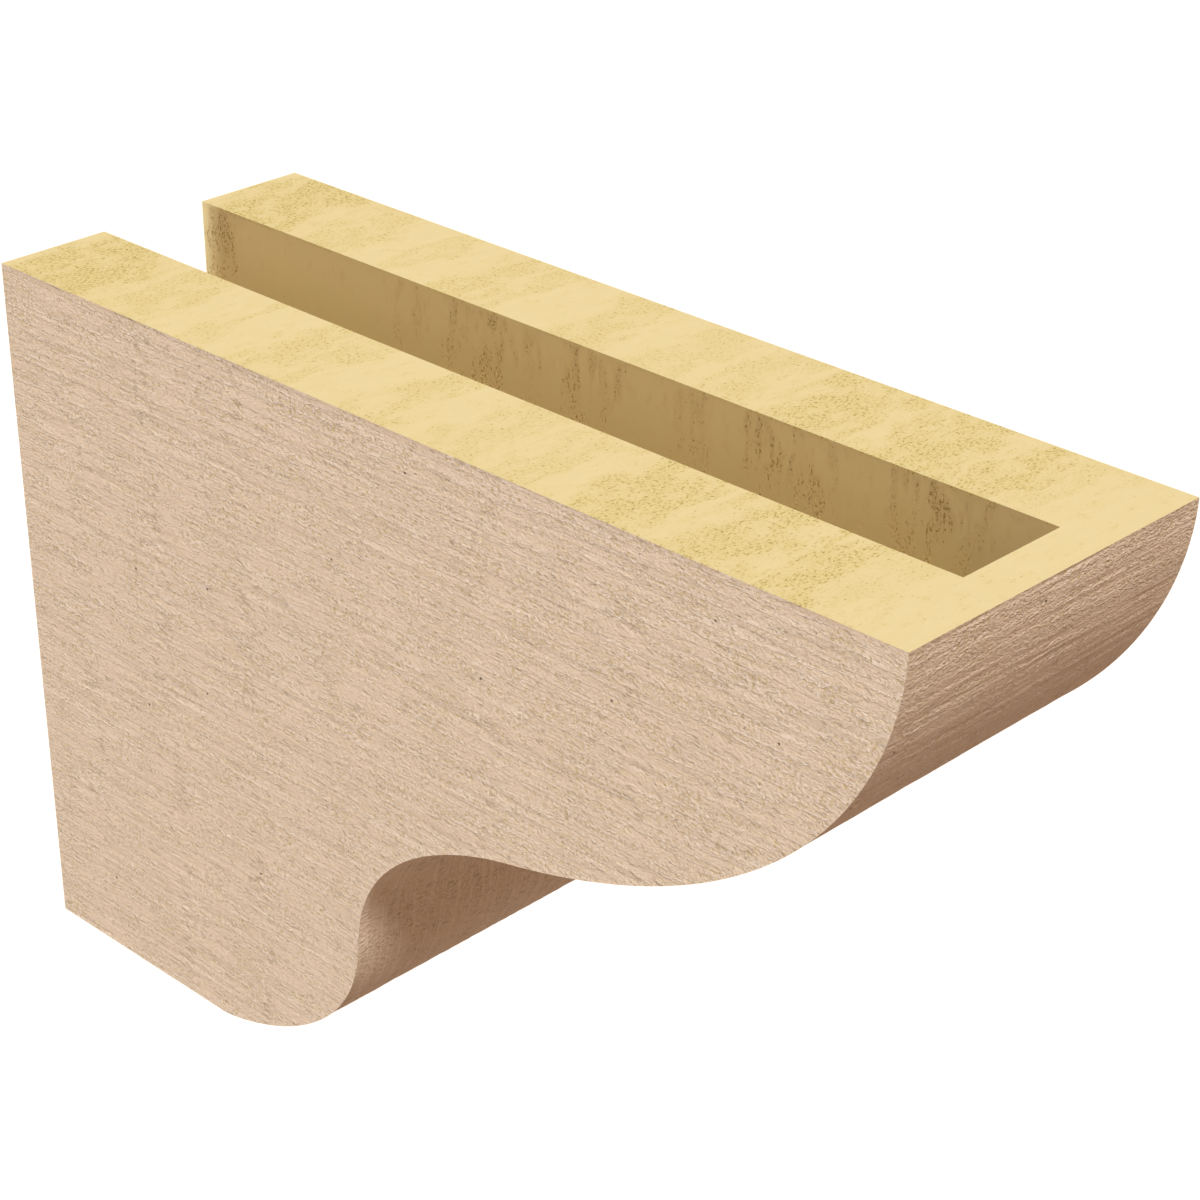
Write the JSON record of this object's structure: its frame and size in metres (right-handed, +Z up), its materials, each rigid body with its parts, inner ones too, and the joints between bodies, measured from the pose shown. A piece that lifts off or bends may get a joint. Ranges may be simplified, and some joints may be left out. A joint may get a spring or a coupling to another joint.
{
  "type": "corbel",
  "caption": "Ogee corbel moulded to look like rough-sawn timber, with a flat wall face, a flat top and a fixing slot along the top, open at the wall end.",
  "frame": {"origin": "middle of the flat wall face", "axes": "+Y into the wall, -Y out to the nose, +Z up, X across"},
  "size_m": [0.15, 0.4572, 0.3012],
  "materials": {
    "primed_foam": "flat tan primer over a rough-sawn texture; raw yellow foam on the top, in the slot and on the wall face"
  },
  "bodies": {
    "root": {"corbel": "primed_foam"}
  },
  "joints": []
}
